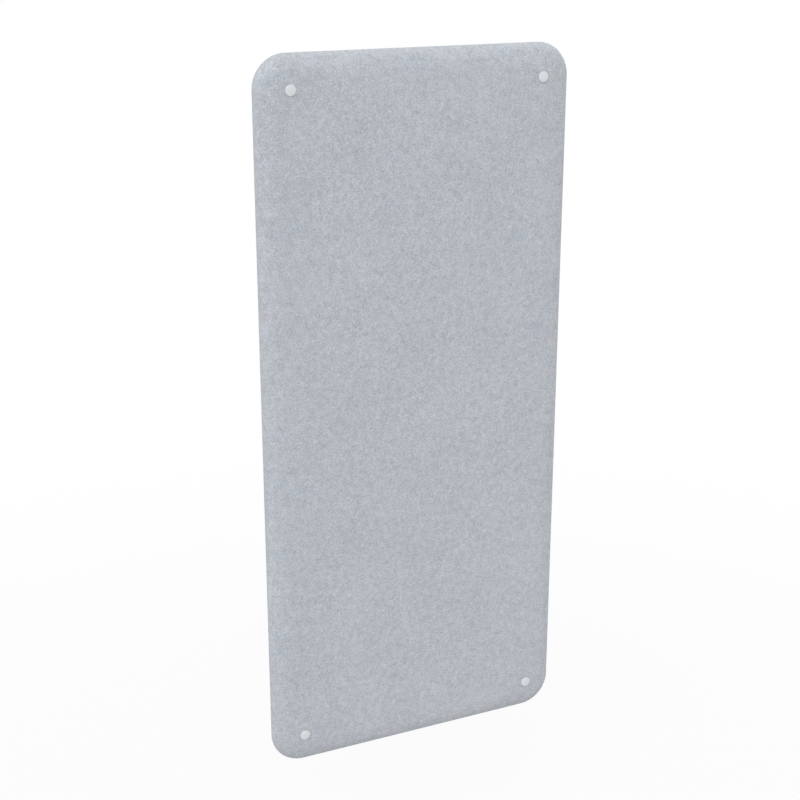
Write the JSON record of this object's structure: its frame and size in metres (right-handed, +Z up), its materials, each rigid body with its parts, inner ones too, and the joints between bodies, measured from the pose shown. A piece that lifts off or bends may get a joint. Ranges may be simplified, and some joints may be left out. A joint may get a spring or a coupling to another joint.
{
  "type": "acoustic divider screen panel",
  "caption": "Tall upholstered acoustic screen panel with round corners, a soft round rim and capped corner fixings that hold it to a frame, post or wall.",
  "frame": {"origin": "centre of the rectangle of the four corner studs, in the plane of the rear bushes' faces", "axes": "+X to the right seen from the front, +Y to the back along the studs, +Z up; the front faces -Y"},
  "size_m": [0.7, 0.071, 1.55],
  "materials": {
    "felt": "light grey-blue melange felt, matt, slightly hairy",
    "wadding": "off-white polyester wadding",
    "timber": "planed pine, unfinished",
    "beech": "beech dowel, fluted",
    "hardboard": "oil-free hardboard, smooth",
    "absorber": "grey recycled fibre slab",
    "cap_plastic": "off-white moulded plastic, satin",
    "socket_plastic": "off-white moulded plastic, satin",
    "bush_plastic": "off-white moulded plastic, satin",
    "zinc_steel": "bright zinc-plated steel",
    "zip_tape": "grey woven polyester tape",
    "zip_teeth": "grey nylon coil",
    "zip_metal": "nickel-coloured die casting"
  },
  "bodies": {
    "panel": {"front_cover": "felt", "rear_cover": "felt", "front_pad": "wadding", "rear_pad": "wadding", "stile_left": "timber", "stile_right": "timber", "rail_top": "timber", "rail_bottom": "timber", "cross_rail_upper": "timber", "cross_rail_lower": "timber", "block_top_left": "timber", "block_top_right": "timber", "block_bottom_left": "timber", "block_bottom_right": "timber", "corner_dowels": "beech", "cross_rail_dowels": "beech", "board_upper": "hardboard", "board_middle": "hardboard", "board_lower": "hardboard", "absorber_front_upper": "absorber", "absorber_front_middle": "absorber", "absorber_front_lower": "absorber", "absorber_rear_upper": "absorber", "absorber_rear_middle": "absorber", "absorber_rear_lower": "absorber", "socket_top_left": "socket_plastic", "socket_top_right": "socket_plastic", "socket_bottom_left": "socket_plastic", "socket_bottom_right": "socket_plastic", "spacer_top_left": "zinc_steel", "spacer_top_right": "zinc_steel", "spacer_bottom_left": "zinc_steel", "spacer_bottom_right": "zinc_steel", "bush_top_left": "bush_plastic", "bush_top_right": "bush_plastic", "bush_bottom_left": "bush_plastic", "bush_bottom_right": "bush_plastic", "screws": "zinc_steel", "washers": "zinc_steel", "zip_tape_front": "zip_tape", "zip_tape_rear": "zip_tape", "zip_teeth_front": "zip_teeth", "zip_teeth_rear": "zip_teeth", "zip_stops": "zip_metal"},
    "cap_top_left": {"cap_top_left": "cap_plastic"},
    "cap_top_right": {"cap_top_right": "cap_plastic"},
    "cap_bottom_left": {"cap_bottom_left": "cap_plastic"},
    "cap_bottom_right": {"cap_bottom_right": "cap_plastic"},
    "slider": {"zip_slider": "zip_metal"}
  },
  "joints": [
    {"name": "cap_top_left_pull", "type": "slide", "parent": "panel", "child": "cap_top_left", "axis": [0, -1, 0], "range_m": [0, 0.015]},
    {"name": "cap_top_right_pull", "type": "slide", "parent": "panel", "child": "cap_top_right", "axis": [0, -1, 0], "range_m": [0, 0.015]},
    {"name": "cap_bottom_left_pull", "type": "slide", "parent": "panel", "child": "cap_bottom_left", "axis": [0, -1, 0], "range_m": [0, 0.015]},
    {"name": "cap_bottom_right_pull", "type": "slide", "parent": "panel", "child": "cap_bottom_right", "axis": [0, -1, 0], "range_m": [0, 0.015]},
    {"name": "zip_slide", "type": "slide", "parent": "panel", "child": "slider", "axis": [1, 0, 0], "range_m": [0, 0.473]}
  ]
}
